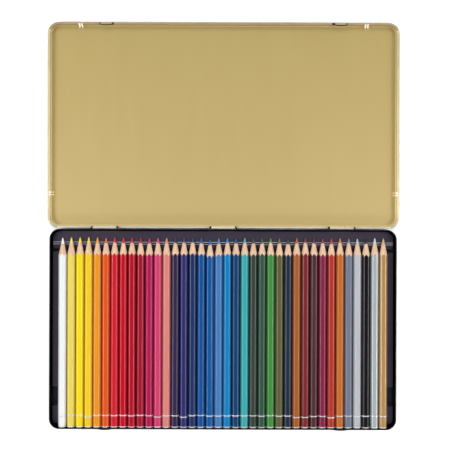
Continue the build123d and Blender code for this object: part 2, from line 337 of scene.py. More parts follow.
# %% Three groups: slow drift, streaks along the length, fine grain
drift_group, given, result = pattern_group("slow drift", {"Scale": 12.0, "Contrast": 1.0})
cloud = add_node(drift_group, "ShaderNodeTexNoise",
                 {"Vector": given.outputs["Vector"], "Scale": given.outputs["Scale"],
                  "Detail": 3.0, "Roughness": 0.5, "Distortion": 0.3})
centred = add_node(drift_group, "ShaderNodeMath", {0: cloud.outputs[0], 1: 0.5}, operation="SUBTRACT")
spread = add_node(drift_group, "ShaderNodeMath",
                  {0: centred.outputs[0], 1: given.outputs["Contrast"], 2: 0.5},
                  operation="MULTIPLY_ADD", use_clamp=True)
drift_group.links.new(spread.outputs[0], result.inputs["Mask"])
drift_group.links.new(cloud.outputs[0], result.inputs["Height"])

streak_group, given, result = pattern_group("streaks along Y", {"Across": 900.0, "Along": 20.0, "Contrast": 1.5})
stretch = add_node(streak_group, "ShaderNodeCombineXYZ",
                   {0: given.outputs["Across"], 1: given.outputs["Along"], 2: given.outputs["Across"]})
drawn = add_node(streak_group, "ShaderNodeVectorMath",
                 {0: given.outputs["Vector"], 1: stretch.outputs[0]}, operation="MULTIPLY")
fibre = add_node(streak_group, "ShaderNodeTexNoise",
                 {"Vector": drawn.outputs[0], "Scale": 1.0, "Detail": 4.0, "Roughness": 0.6, "Distortion": 0.2})
centred = add_node(streak_group, "ShaderNodeMath", {0: fibre.outputs[0], 1: 0.5}, operation="SUBTRACT")
spread = add_node(streak_group, "ShaderNodeMath",
                  {0: centred.outputs[0], 1: given.outputs["Contrast"], 2: 0.5},
                  operation="MULTIPLY_ADD", use_clamp=True)
streak_group.links.new(spread.outputs[0], result.inputs["Mask"])
streak_group.links.new(fibre.outputs[0], result.inputs["Height"])

grain_group, given, result = pattern_group("fine grain", {"Scale": 1500.0, "Softness": 0.35})
pebble = add_node(grain_group, "ShaderNodeTexVoronoi",
                  {"Vector": given.outputs["Vector"], "Scale": given.outputs["Scale"],
                   "Smoothness": given.outputs["Softness"]}, feature="SMOOTH_F1")
dust = add_node(grain_group, "ShaderNodeTexNoise",
                {"Vector": given.outputs["Vector"], "Scale": given.outputs["Scale"], "Detail": 2.0})
lumps = add_node(grain_group, "ShaderNodeMath", {0: pebble.outputs[0], 1: dust.outputs[0]}, operation="MULTIPLY")
grain_group.links.new(dust.outputs[0], result.inputs["Mask"])
grain_group.links.new(lumps.outputs[0], result.inputs["Height"])
print("pattern groups:", [group.name for group in (drift_group, streak_group, grain_group)])


# %% Start of every material
def new_finish(name, **constants):
    """Material with a Principled shader, its constants set on the shader, and Object coordinates."""
    finish = bpy.data.materials.new(name)
    finish.use_nodes = True
    tree = finish.node_tree
    shader = tree.nodes["Principled BSDF"]
    for label, value in constants.items():
        shader.inputs[label.replace("_", " ")].default_value = value
    place = tree.nodes.new("ShaderNodeTexCoord").outputs["Object"]
    return finish, tree, shader, place


def pattern(tree, group, place, **values):
    """A pattern group placed in a material, with its own values."""
    made = add_node(tree, "ShaderNodeGroup", node_tree=group)
    tree.links.new(place, made.inputs["Vector"])
    for label, value in values.items():
        made.inputs[label].default_value = value
    return made


def ranged(tree, mask, low, high):
    """Mask from 0 to 1 spread between two values."""
    return add_node(tree, "ShaderNodeMapRange", {0: mask, 3: low, 4: high}).outputs[0]


def roughened(tree, shader, height, strength, distance):
    """Bump of a height given in millimetres of depth on the shader's Normal."""
    bump = add_node(tree, "ShaderNodeBump", {"Height": height, "Strength": strength, "Distance": distance * mm})
    tree.links.new(bump.outputs[0], shader.inputs["Normal"])


# %% [markdown]
# ## The tin's two finishes
#
# Outside, the tinplate is stoved with black enamel: smooth, glossy, and slightly wavy like
# all sprayed and baked paint. Inside, it is printed with a gold lacquer, which is a clear
# yellow coat over bright metal. A metallic shader with a soft gloss shows that, and the
# rolling streaks of the plate under it make the gloss uneven in one direction.

# %% Black enamel and gold lacquer
black_enamel, tree, shader, place = new_finish("black enamel", Specular_IOR_Level=0.2, IOR=1.5)
wave = pattern(tree, drift_group, place, Scale=35.0, Contrast=1.6)
grain = pattern(tree, grain_group, place, Scale=2200.0)
tree.links.new(mixed(tree, wave.outputs["Mask"], seen(6, 6, 7), seen(13, 12, 14)),
               shader.inputs["Base Color"])
tree.links.new(ranged(tree, wave.outputs["Mask"], 0.30, 0.40), shader.inputs["Roughness"])
roughened(tree, shader, grain.outputs["Height"], 0.12, 0.02)

gold_lacquer, tree, shader, place = new_finish("gold lacquer", Coat_Roughness=0.2, IOR=1.5)
tone = pattern(tree, drift_group, place, Scale=7.0, Contrast=2.0)
rolling = pattern(tree, streak_group, place, Across=120.0, Along=9.0, Contrast=0.8)
grain = pattern(tree, grain_group, place, Scale=1800.0)
plain = mixed(tree, tone.outputs["Mask"], seen(207, 182, 113), seen(213, 188, 118))
even = mixed(tree, rolling.outputs["Mask"], plain, seen(214, 190, 122))
# painted light: towards the hinge side (Object Y below 0.27 m) the gold is mixed, up to 0.85 of the way, towards a
# paler gold that stands for the light falling there
apart = add_node(tree, "ShaderNodeSeparateXYZ", {0: place})
thinner = add_node(tree, "ShaderNodeMapRange", {0: apart.outputs[1], 1: 0.09, 2: 0.27, 3: 0.85, 4: 0.0})
tree.links.new(mixed(tree, thinner.outputs[0], even, seen(236, 209, 142)), shader.inputs["Base Color"])
tree.links.new(ranged(tree, rolling.outputs["Mask"], 0.40, 0.47), shader.inputs["Roughness"])
shader.inputs["Metallic"].default_value = 0.5
shader.inputs["Coat Weight"].default_value = 0.1
roughened(tree, shader, grain.outputs["Height"], 0.1, 0.02)



def rim_finish(name, low, high, metal, coat):
    """Tin on a rolled edge, painted lighter or darker to stand for the light or shade on it: a slow change of tone
    over a fine grain.
    """
    finish, tree, shader, place = new_finish(name, Metallic=metal, Coat_Roughness=0.1, IOR=1.5)
    tone = pattern(tree, drift_group, place, Scale=60.0, Contrast=1.6)
    grain = pattern(tree, grain_group, place, Scale=2400.0)
    tree.links.new(mixed(tree, tone.outputs["Mask"], seen(*low), seen(*high)), shader.inputs["Base Color"])
    tree.links.new(ranged(tree, tone.outputs["Mask"], 0.26, 0.38), shader.inputs["Roughness"])
    shader.inputs["Coat Weight"].default_value = coat
    roughened(tree, shader, grain.outputs["Height"], 0.12, 0.02)
    return finish


# Copies of the rolled rim: a painted highlight on the rolls that face the lamps, near-white painted light on the hinge
# roll's shaded outer half and on the stops, and painted shade on the far roll.
bright_rim = rim_finish("rolled rim with painted highlight", (204, 192, 152), (218, 206, 168), 0.3, 0.2)
bare_rim = rim_finish("rolled rim with painted light in shade", (274, 266, 246), (284, 277, 258), 0.1, 0.1)
far_rim = rim_finish("far rolled rim with painted shade", (168, 148, 112), (184, 162, 122), 0.2, 0.1)
print("tin finishes:", black_enamel.name, gold_lacquer.name, bright_rim.name, bare_rim.name, far_rim.name)

# %% [markdown]
# ## Base: a pressed pan with its rim rolled inwards
#
# The rim is rolled so that no sharp edge of tin shows: the sheet goes up the wall and turns
# into a tight tube on the inside. Two beads on the front wall hold the shut lid, pressed
# out from inside. In the rear wall the sheet is cut above and below three straps, which
# stand out as hinge bars and leave windows behind them. The wall's section is written once,
# then the beads push their columns outwards and the windows leave cells out.

# %% Sizes of the base
pencil_count = 38
flats = 6.9
hexagon_radius = flats / 2 / math.cos(math.pi / 6)
pitch = 2 * hexagon_radius - 0.3 + 0.32
row_half_width = (pencil_count - 1) * pitch / 2
groove_reach = hexagon_radius + 0.2 / math.cos(math.pi / 6)
tray_half_width = row_half_width + groove_reach + 5.15
sheet = 0.3
base_half_width = tray_half_width + 2.2
base_front, base_rear, base_height = -91.9, 91.9, 11.5
hinge_x = 109.2 * np.array([-1.0, 0.0, 1.0])
hinge_y, hinge_z, bar_radius = 93.75, 6.5, 1.0
catch_x = 108.3 * np.array([-1.0, 1.0])
window_low, window_high, window_half_width = 5.2, 7.8, 12.6
print(f"base {2 * base_half_width:.2f} x {base_rear - base_front:.2f} x {base_height}")

# %% Columns and rows of the base
coarse = np.linspace(-150.0, 150.0, 13)
base_outline, base_outward = pan_outline(
    base_half_width, base_front, base_rear, 9.4,
    front_x=np.concatenate([coarse, around(catch_x, np.linspace(-8.0, 8.0, 25))]),
    rear_x=np.concatenate([coarse, around(hinge_x, [-13.4, -12.6, 0.0, 12.6, 13.4])]),
    side_y=np.linspace(-80.0, 80.0, 7))
bead_rows = np.linspace(8.9, 10.7, 9)
wall_z = np.concatenate([[3.4, window_low, window_high], bead_rows])


def base_section(offset):
    """Section of one skin of the pan: floor bend, straight wall, and a rim turned 285 degrees inwards."""
    bend = arc((-1.6, 1.6), 1.6 - offset, -90, 0, 6)
    wall = np.stack([np.full_like(wall_z, -offset), wall_z], -1)
    curl = arc((-0.4, base_height - 0.4), 0.4 - offset, 0, 285, 19)
    return np.concatenate([bend, wall, curl])


# %% Base: beads, windows and both skins
column_x = base_outline[:, 0]
at_front = base_outward[:, 1] < -0.99
along = np.min(np.abs(column_x[None] - catch_x[:, None]), axis=0) / 8.0
bead_length = np.where(at_front, np.clip(1.0 - along ** 2, 0.0, 1.0), 0.0)


def base_skin(offset):
    """Skin of the base: floor rows from a pole, then the section; a bead adds 1.05 (1 - s^2)(1 - |t|^3)."""
    section = base_section(offset)
    u, z = section[:, :1], section[:, 1:]
    bead_height = np.clip(1.0 - np.abs((z - 9.8) / 0.9) ** 3, 0.0, 1.0) * (np.abs(u + offset) < 0.01)
    walls = carried(base_outline, base_outward, u + 1.05 * bead_height * bead_length[None], z)
    return np.concatenate([floor_rows(walls[0], (0.0, 0.0), [0.0, 0.5, 0.9]), walls])


base_under, base_over = base_skin(0.0), base_skin(sheet)
rows, columns = base_under.shape[:2]
next_x = np.roll(column_x, -1)
on_rear = (base_outward[:, 1] > 0.99) & (np.roll(base_outward[:, 1], -1) > 0.99)
in_window = on_rear & np.any(np.abs((column_x + next_x) / 2 - hinge_x[:, None]) < window_half_width, axis=0)
row_z = (base_under[:-1, 0, 2] + base_under[1:, 0, 2]) / 2
window_rows = (row_z > window_low) & (row_z < window_high)
base_keep = ~(window_rows[:, None] & in_window[None])
points, faces, side, row = thick_sheet(base_under, base_over, base_keep)
pan = make_piece("base_pan", points, faces, [black_enamel], np.zeros(len(faces)))

# %% [markdown]
# The hinge bars are straps of the same sheet. Each leaves the wall beside its window, bends
# outwards and is rolled round, so its section changes from a flat strip to a round bar along
# one path. The lid's tongues turn on the round part.

# %% Hinge bars
def hinge_bar(x):
    """Tube along a path that leaves the wall: y goes from wall to hinge line as a soft step.

    Its section is an ellipse, a cos t across the path and b sin t upwards, with a growing from
    half the sheet to the bar's radius and b falling from the strip's half height to it.
    """
    half = np.concatenate([np.linspace(-13.3, -11.15, 13), [-5.0]])
    dx = np.concatenate([half, [0.0], -half[::-1]])
    share = smooth((13.3 - np.abs(dx)) / (13.3 - 11.15))
    y = (base_rear - sheet / 2) * (1 - share) + hinge_y * share
    slope = np.gradient(y, dx)
    length = np.hypot(1.0, slope)
    a = 0.14 * (1 - share) + bar_radius * share
    b = 1.22 * (1 - share) + bar_radius * share
    t = np.radians(np.linspace(0, 360, 20, endpoint=False))
    across = a[:, None] * np.cos(t)
    ring = np.stack([
        x + dx[:, None] - across * (slope / length)[:, None],
        y[:, None] + across / length[:, None],
        hinge_z + b[:, None] * np.sin(t)], -1)
    ends = ring.mean(axis=1, keepdims=True) + np.zeros_like(ring)
    tube = np.concatenate([ends[:1], ring, ends[-1:]])
    return tube[:, ::-1]


bars = np.stack([hinge_bar(x) for x in hinge_x])
bar_cells = cells(bars.shape[1], bars.shape[2], True).reshape(-1, 4)
bar_faces = np.concatenate([bar_cells + index * bars[0].size // 3 for index in range(len(bars))])
bar_piece = make_piece("base_hinge_bars", bars, bar_faces, [black_enamel], np.zeros(len(bar_faces)))

for piece in (pan, bar_piece):
    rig.ride(piece, "base")
    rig.slot(piece, "black_tin")
    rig.replaces(piece, "base_tin")

# %% [markdown]
# ## Lid: a shallower pan with its rim rolled outwards
#
# The lid is drawn as it lies, open side up. Its rim is rolled to the outside, so the gold
# lacquer shows on the roll all the way round. On the hinge side three tongues replace the
# roll: the skirt runs on upwards there and turns three quarters round a bar of the base.
# Small double stops are pressed in from outside at the foot of the skirt, two at the front
# and one at each side, and two beads in the front roll snap under the beads of the base.

# %% Sizes, columns and rows of the lid
lid_half_width = base_half_width + 0.9
lid_hinge_face, lid_front_face = 95.3, 280.7
stop_x = 132.2 * np.array([-1.0, 1.0])
stop_y = 124.6
tongue_half_width, slot_half_width, slot_z = 10.8, 10.95, 2.55
stop_stations = np.concatenate([np.linspace(-2.6, 2.6, 27), [-3.4, 3.4]])
lid_outline, lid_outward = pan_outline(
    lid_half_width, lid_hinge_face, lid_front_face, 8.3,
    front_x=np.concatenate([coarse, around(hinge_x, [-slot_half_width, -tongue_half_width, 0.0,
                                                     tongue_half_width, slot_half_width])]),
    rear_x=np.concatenate([coarse, around(stop_x, stop_stations), around(catch_x, np.linspace(-6.6, 6.6, 25))]),
    side_y=np.concatenate([np.linspace(105.0, 272.0, 8), stop_y + stop_stations]))
roll_angles = np.linspace(180.0, -90.0, 19)
skirt_z = np.array([1.35, 1.6, 1.9, 2.25, slot_z])

x, y = lid_outline[:, 0], lid_outline[:, 1]
at_hinge, at_front, at_side = lid_outward[:, 1] < -0.99, lid_outward[:, 1] > 0.99, np.abs(lid_outward[:, 0]) > 0.99
from_hinge = np.min(np.abs(x[None] - hinge_x[:, None]), axis=0)
is_tongue = at_hinge & (from_hinge < tongue_half_width + 0.01)
from_stop = np.where(at_front, np.min(np.abs(x[None] - stop_x[:, None]), axis=0),
                     np.where(at_side, np.abs(y - stop_y), 99.0))
from_catch = np.where(at_front, np.min(np.abs(x[None] - catch_x[:, None]), axis=0), 99.0)
print(f"lid {2 * lid_half_width + 5.4:.2f} x {lid_front_face - lid_hinge_face + 5.4:.2f}, {len(x)} columns")


# %% Section of the lid, with what each column changes
def lid_section(offset):
    """Skin of the lid's wall, as (u, z) for every row and column.

    Bend of 0.9 + offset about (-0.9, 1.2), skirt at u = offset, then a roll of radius
    1.35 - offset about (1.35, 3.9). A tongue's column rolls with 1.55 - offset about (1.55, 6.5).
    Beside the tongues the roll is pressed flatter: its cosine and sine are raised to 0.6.
    """
    bend = arc((-0.9, 1.2), 0.9 + offset, -90, 0, 6)
    skirt = np.stack([np.full_like(skirt_z, offset), skirt_z], -1)
    foot = np.concatenate([bend, skirt])
    angle = np.radians(roll_angles)
    rim = [(offset, 3.25), *zip(1.35 + (1.35 - offset) * np.cos(angle), 3.9 + (1.35 - offset) * np.sin(angle))]
    tongue = [(offset, 4.4), *zip(1.55 + (1.55 - offset) * np.cos(angle), 6.5 + (1.55 - offset) * np.sin(angle))]
    plain = np.concatenate([foot, np.array(rim)])[:, None, :]
    across, up = (np.sign(c) * np.abs(c) ** 0.6 for c in (np.cos(angle), np.sin(angle)))
    pressed = np.stack([1.35 + (1.35 - offset) * across, 3.9 + (1.35 - offset) * up], -1)
    pressed = np.concatenate([foot, [[offset, 3.25]], pressed])[:, None, :]
    plain = np.where(at_hinge[None, :, None], pressed, plain)
    curled = np.concatenate([foot, np.array(tongue)])[:, None, :]
    both = np.where(is_tongue[None, :, None], curled, plain)
    return both[..., 0], both[..., 1]


stop_lobes = smooth((2.45 - from_stop) / 0.75) * (1.0 - 0.75 * np.exp(-(from_stop / 0.45) ** 2))


def stop_push(z, turned):
    """How far a stop pushes each row inwards: two lobes across, all of it at the foot, a little above.

    The side stops end lower, so that they sit on the base's rim when the lid is shut.
    """
    left = np.where(at_front, 0.28, 0.2)[None]
    top = np.where(at_front, 1.95, 1.5)[None]
    fade = left + (1.0 - left) * smooth((top - z) / 0.85)
    return 2.3 * stop_lobes[None] * fade * smooth((turned - 60.0) / 100.0)


def bead_push(u, turned):
    """Catch bead: the top of the roll is drawn inwards to a bow of 0.7 (1 - s^2) over 12.7."""
    bow = np.clip(1.0 - (from_catch / 6.35) ** 2, 0.0, 1.0)[None]
    weight = np.interp(turned, [60.0, 90.0, 105.0, 120.0, 150.0, 165.0, 180.0], [0.0, 0.25, 0.6, 1.0, 1.0, 0.5, 0.0])
    return (u + 0.7 * bow) * weight * smooth(bow * 4.0)


# %% Lid: panel, skins and holes
turned = np.concatenate([np.full(7 + len(skirt_z) + 1, 180.0), roll_angles])[:, None]
on_roll = np.arange(len(turned))[:, None] >= 7 + len(skirt_z) + 1


def lid_skin(offset):
    """Skin of the lid: panel rows from a pole with a slight crown, then the wall."""
    u, z = lid_section(offset)
    u = u - stop_push(z, turned) - np.where(on_roll, bead_push(u, turned), 0.0)
    walls = carried(lid_outline, lid_outward, u, z)
    flat_ring = carried(lid_outline, lid_outward, np.array([[-4.2]]), z[:1])
    middle = (0.0, (lid_hinge_face + lid_front_face) / 2)
    panel = np.concatenate([floor_rows(flat_ring[0], middle, np.linspace(0.0, 0.96, 13)), flat_ring])
    crown = (1 - (panel[..., 0] / 156.0) ** 2) * (1 - ((panel[..., 1] - middle[1]) / 88.5) ** 2)
    panel[..., 2] += 0.35 * np.clip(crown, 0.0, 1.0)
    return np.concatenate([panel, walls])


lid_under, lid_over = lid_skin(sheet), lid_skin(0.0)
rows, columns = lid_under.shape[:2]
beside = (from_hinge > tongue_half_width - 0.01) & (from_hinge < slot_half_width + 0.01) & at_hinge
in_slot = beside & np.roll(beside, -1) & (np.abs(np.roll(x, -1) - x) < 1.0)
above_slot = np.arange(rows - 1) >= 14 + 7 + len(skirt_z) - 1
lid_keep = ~(above_slot[:, None] & in_slot[None])
points, faces, side, row = thick_sheet(lid_under, lid_over, lid_keep)
column = faces[:, 0] % columns
rolled = row >= 14 + 7 + len(skirt_z)
# painted highlight: faces on the stops' lobes take the near-white rim copy, standing for the light they catch
on_lobe = (stop_lobes[column] > 0.65) & (row > 20) & (row < 14 + 7 + len(skirt_z) + 6)
# painted shade: the roll on the far side takes the darker rim copy
far = rolled & (points[faces].mean(axis=1)[:, 1] > 276.0)
# painted light: the outer half of the hinge-side roll lies in the base wall's shade and takes the near-white rim copy
outer_half = (row >= 14 + 7 + len(skirt_z) + 7) & at_hinge[column]
roll_row = row - (14 + 7 + len(skirt_z))
near_catch = from_catch[column]
# painted shade: faces of the roll under each catch bead's bow take black enamel, standing for the shadow under the bow
crease = (roll_row > 2) & (near_catch < 6.6) & ((roll_row < 6) | (np.abs(near_catch - 5.9) < 0.7) & (roll_row < 9))
# finish of each face: 1 gold lacquer, 2 painted highlight on the rolls, 3 near-white painted light, 4 painted shade on
# the far roll, 0 black enamel as painted shade under the bows
rim_kind = np.where(outer_half | on_lobe, 3, np.where(far, 4, np.where(rolled, 2, 1)))
rim_kind = np.where(crease, 0, rim_kind)
finish_of_face = np.where(side == 1, rim_kind, 0)
lid_piece = make_piece("lid_pan", points, faces, [black_enamel, gold_lacquer, bright_rim, bare_rim, far_rim], finish_of_face)
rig.ride(lid_piece, "lid")
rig.slot(lid_piece, "gold_lacquered_tin")
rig.replaces(lid_piece, "lid")

# %% [markdown]
# ## Tray: one sheet of black plastic, formed over a mould
#
# Behind the points is a flat platform with a narrow ledge, then a trough, the grooved bed,
# a trough for the fingers and a second, short bed. Formed plastic has no sharp edges, and
# the round edges are what catches the light; on the ledge's two edges a painted highlight is
# added. The profile from rear to front is a line with rounded corners, and across it the
# grooves cut into the beds like a row of valleys.

# %% Rounded line
def rounded_line(corners, radii, steps=5):
    """Polyline with each inner corner replaced by an arc that touches both its sides."""
    corners = np.asarray(corners, dtype=float)
    step = np.diff(corners, axis=0)
    direction = step / np.linalg.norm(step, axis=1, keepdims=True)
    before, after = direction[:-1], direction[1:]
    turn = np.arctan2(before[:, 0] * after[:, 1] - before[:, 1] * after[:, 0], (before * after).sum(axis=1))
    start = corners[1:-1] - before * (radii * np.tan(np.abs(turn) / 2))[:, None]
    inward = np.stack([-before[:, 1], before[:, 0]], -1) * np.sign(turn)[:, None]
    centre = start + inward * radii[:, None]
    angle = turn[:, None] * np.linspace(0.0, 1.0, steps + 1)
    spoke = (start - centre)[:, None]
    points = np.stack([
        centre[:, None, 0] + spoke[..., 0] * np.cos(angle) - spoke[..., 1] * np.sin(angle),
        centre[:, None, 1] + spoke[..., 0] * np.sin(angle) + spoke[..., 1] * np.cos(angle)], -1)
    return np.concatenate([corners[:1], points.reshape(-1, 2), corners[-1:]])


# %% Profile of the tray from rear to front
tray_rear, tray_front = 90.1, -90.3
tray_low, floor_z, trough_z, shelf_z, groove_z, land_z = 0.3, 0.8, 1.4, 5.9, 2.9, 4.93
lean = math.tan(math.radians(8.0))
drop = (shelf_z - floor_z) * lean
tray_corners = [
    (tray_rear, tray_low), (tray_rear, 4.9), (79.85, 4.9), (79.45, 4.7), (79.4, 4.1), (78.0, 4.1),
    (77.55, 3.85), (73.8, 3.1), (73.6, trough_z), (70.15 + drop, trough_z), (70.15, shelf_z), (-53.45, shelf_z),
    (-53.45 - drop, floor_z), (-71.75 + drop, floor_z), (-71.75, shelf_z), (-87.35, shelf_z),
    (-87.35 - drop, floor_z), (tray_front, floor_z)]
tray_radii = np.array([0.6, 0.12, 0.1, 0.1, 0.12, 0.1, 0.1, 0.1, 0.4, 0.7, 0.7, 0.5, 0.5, 0.7, 0.7, 0.4])
profile = rounded_line(tray_corners, tray_radii)
run = np.concatenate([[0.0], np.cumsum(np.hypot(*np.diff(profile, axis=0).T))])
corner_depth = 7.6 * (1 - np.cos(np.radians(np.linspace(8, 90, 11))))
stations = np.concatenate([tray_rear - corner_depth, tray_front + corner_depth, np.linspace(65, -50, 8)])
run = np.unique(np.concatenate([run, np.interp(-stations, -profile[:, 0], run)]).round(4))
whole_run = np.concatenate([[0.0], np.cumsum(np.hypot(*np.diff(profile, axis=0).T))])
profile = np.stack([np.interp(run, whole_run, profile[:, 0]), np.interp(run, whole_run, profile[:, 1])], -1)
slope = np.gradient(profile, run, axis=0)
slope /= np.linalg.norm(slope, axis=1, keepdims=True)
profile_inward = np.stack([slope[:, 1], -slope[:, 0]], -1) * -1.0
print(f"tray profile: {len(profile)} stations over {run[-1]:.1f} mm")

# %% Columns across the tray
pencil_x = np.arange(pencil_count) * pitch - row_half_width
tan30 = math.tan(math.pi / 6)
floor_half = groove_reach - (flats / 2) * tan30
land_half = groove_reach - (groove_z + flats / 2 - land_z) * tan30
groove_stations = np.array([-land_half - 0.2, -land_half + 0.06, -floor_half - 0.06, -floor_half + 0.25])
groove_stations = np.concatenate([groove_stations, [0.0], -groove_stations[::-1]])
shelf_edge = row_half_width + groove_reach - (groove_z + flats / 2 - shelf_z) * tan30
edge_angle = np.radians(np.linspace(0, 90, 5))
edge_x = tray_half_width - 0.6 + 0.6 * np.cos(edge_angle)
edge_drop = 0.6 - 0.6 * np.sin(edge_angle)
right_x = np.concatenate([[shelf_edge + 0.02, shelf_edge + 0.3, 152.5], edge_x[::-1], [tray_half_width]])
right_drop = np.concatenate([[0.0, 0.0, 0.0], edge_drop[::-1], [99.0]])
inner_x = np.unique(around(pencil_x, groove_stations).round(4))
tray_x = np.concatenate([-right_x[::-1], inner_x, right_x])
tray_drop = np.concatenate([right_drop[::-1], np.zeros(len(inner_x)), right_drop])


def groove_height(x):
    """Height of the beds across the tray: valleys with sides at 60 degrees, between shelves at both sides."""
    away = np.min(np.abs(x[:, None] - pencil_x[None]), axis=1)
    valley = np.clip(groove_z + (away - floor_half) / tan30, groove_z, land_z)
    outside = np.clip(groove_z + (np.abs(x) - row_half_width - floor_half) / tan30, groove_z, shelf_z)
    return np.where(np.abs(x) > row_half_width, outside, valley)


# %% [markdown]
# Where the profile and the valleys meet, the lower of the two heights counts, with a soft
# change between them. The tray's corners are round in plan, so the outermost columns are
# drawn in towards the front and the rear edge. The under skin is the same surface moved by
# the sheet's thickness.

# %% Both skins of the tray
def soft_min(a, b, width):
    """Lower of two heights, rounded where they differ by less than width."""
    near = np.clip(1.0 - np.abs(a - b) / width, 0.0, 1.0)
    return np.minimum(a, b) - near * near * width / 4


def tray_skin(thickness):
    """Skin of the tray: (x, y(s), min(profile height z(s), groove height of x)), moved in by a thickness."""
    y = profile[:, 0] + thickness * profile_inward[:, 0]
    z = profile[:, 1] + thickness * profile_inward[:, 1]
    valley = np.where(profile[:, :1] < 74.0, groove_height(tray_x)[None] - thickness, 99.0)
    height = soft_min(z[:, None], valley, 0.3)
    height = np.maximum(height - tray_drop[None], tray_low)
    depth = np.clip(np.minimum(tray_rear - profile[:, 0], profile[:, 0] - tray_front), 0.0, 7.6)
    half_width = tray_half_width - 7.6 + np.sqrt(7.6 ** 2 - (7.6 - depth) ** 2)
    pinned = np.where(half_width > 154.5, 152.2, 140.0)
    beyond = np.clip(np.abs(tray_x)[None] - pinned[:, None], 0.0, None)
    drawn_in = beyond * ((half_width - thickness - pinned) / (tray_half_width - pinned))[:, None]
    x = np.sign(tray_x)[None] * (np.minimum(np.abs(tray_x)[None], pinned[:, None]) + drawn_in)
    return np.stack(np.broadcast_arrays(x, y[:, None], height), -1)


tray_over, tray_under = tray_skin(0.0), tray_skin(0.5)
tray_under[..., 2] = np.minimum(tray_under[..., 2], tray_over[..., 2])
keep = np.ones((len(profile) - 1, len(tray_x) - 1), dtype=bool)
points, faces, side, row = thick_sheet(tray_under, tray_over, keep, closed=False, pole=False)


def plastic_finish(name, low, high):
    """Formed sheet of plastic: a slow change of tone and a fine grain from the mould; in pale colours it is the
    painted highlight on the ledge's edges.
    """
    finish, tree, shader, place = new_finish(name, IOR=1.49, Specular_IOR_Level=0.4)
    tone = pattern(tree, drift_group, place, Scale=30.0, Contrast=1.4)
    grain = pattern(tree, grain_group, place, Scale=1300.0)
    tree.links.new(mixed(tree, tone.outputs["Mask"], seen(*low), seen(*high)), shader.inputs["Base Color"])
    tree.links.new(ranged(tree, grain.outputs["Mask"], 0.30, 0.42), shader.inputs["Roughness"])
    roughened(tree, shader, grain.outputs["Height"], 0.2, 0.04)
    return finish


black_plastic = plastic_finish("black plastic", (58, 50, 66), (66, 58, 74))
# painted highlight: a pale copy of the plastic for the two rounded edges of the ledge behind the points
strained = plastic_finish("tray plastic with painted highlight", (206, 208, 222), (234, 234, 244))
face_y = points[faces].mean(axis=1)[:, 1]
# the painted highlight lies in two narrow bands across the tray's upper skin, at y 79.65 and 77.77 mm
bevel = (np.abs(face_y - 79.65) < 0.23) | (np.abs(face_y - 77.77) < 0.25)
tray = make_piece("pencil_tray_sheet", points, faces, [black_plastic, strained],
                  np.where((side == 1) & bevel, 1, 0), crease=50.0)
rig.ride(tray, "tray")
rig.slot(tray, "black_plastic")
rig.replaces(tray, "pencil_tray")

# %% [markdown]
# ## The pencils' finishes
#
# Each pencil is dipped in its own lacquer and has a thin ring of silver foil near the end;
# its rounded end is painted much paler in the pencil's tint, as a painted highlight. Where the
# sharpener has cut through, the cedar shows, and in the middle of it the coloured core, which
# is matt and a little paler than the lacquer.

# %% Colours of the row, as seen on the lacquer
lacquers = {
    "white": (242, 244, 244), "pale_yellow": (238, 214, 92), "yellow": (250, 222, 20),
    "golden_yellow": (246, 204, 30), "orange": (236, 148, 32), "orange_red": (226, 84, 26),
    "red": (208, 26, 44), "crimson": (196, 4, 34), "dark_red": (180, 6, 36),
    "deep_red": (162, 10, 42), "magenta": (178, 16, 84), "pink": (210, 60, 108),
    "salmon": (220, 130, 122), "dark_violet": (50, 36, 76), "indigo": (44, 44, 110),
    "navy": (28, 48, 98), "blue": (10, 80, 152), "mid_blue": (6, 86, 156),
    "cornflower": (68, 122, 184), "sky_blue": (6, 126, 192), "dark_blue": (14, 62, 110),
    "teal": (54, 168, 174), "dark_green": (52, 64, 56), "grey_green": (50, 84, 66),
    "green": (64, 140, 62), "olive": (94, 92, 54), "prussian_blue": (32, 46, 66),
    "brown": (166, 92, 40), "red_brown": (124, 40, 44), "dark_brown": (80, 44, 48),
    "plum": (132, 32, 68), "brick_red": (180, 50, 40), "ochre": (196, 106, 38),
    "blue_grey": (114, 120, 140), "light_grey": (186, 190, 196), "black": (20, 14, 20),
    "silver": (200, 208, 212), "gold": (206, 166, 110),
}
print(len(lacquers), "lacquers")


def paler(colour, share):
    """Colour moved towards white by a share."""
    return tuple(c + (255 - c) * share for c in colour)


# %% Lacquer, core, painted highlight on the end, cedar and foil
def lacquer_finish(name, colour):
    """Glossy dipped lacquer: a faint streak along the pencil and a fine orange peel."""
    metal = 0.35 if name in ("silver", "gold") else 0.0
    finish, tree, shader, place = new_finish(f"lacquer {name}", IOR=1.5, Metallic=metal, Specular_IOR_Level=0.4, Coat_Roughness=0.12)
    streak = pattern(tree, streak_group, place, Across=700.0, Along=14.0, Contrast=1.3)
    peel = pattern(tree, grain_group, place, Scale=1400.0)
    low = seen(*(c * 0.95 for c in colour))
    tree.links.new(mixed(tree, streak.outputs["Mask"], low, seen(*paler(colour, 0.02))), shader.inputs["Base Color"])
    tree.links.new(ranged(tree, streak.outputs["Mask"], 0.20, 0.27), shader.inputs["Roughness"])
    shader.inputs["Coat Weight"].default_value = 0.15
    roughened(tree, shader, peel.outputs["Height"], 0.08, 0.02)
    return finish


def core_finish(name, colour):
    """Waxy pigment core: matt, slightly paler and crumbly where it is cut."""
    finish, tree, shader, place = new_finish(f"core {name}", IOR=1.45, Roughness=0.7)
    wax = pattern(tree, drift_group, place, Scale=900.0, Contrast=1.8)
    grain = pattern(tree, grain_group, place, Scale=2600.0)
    tree.links.new(mixed(tree, wax.outputs["Mask"], seen(*colour), seen(*paler(colour, 0.12))),
                   shader.inputs["Base Color"])
    roughened(tree, shader, grain.outputs["Height"], 0.5, 0.08)
    return finish


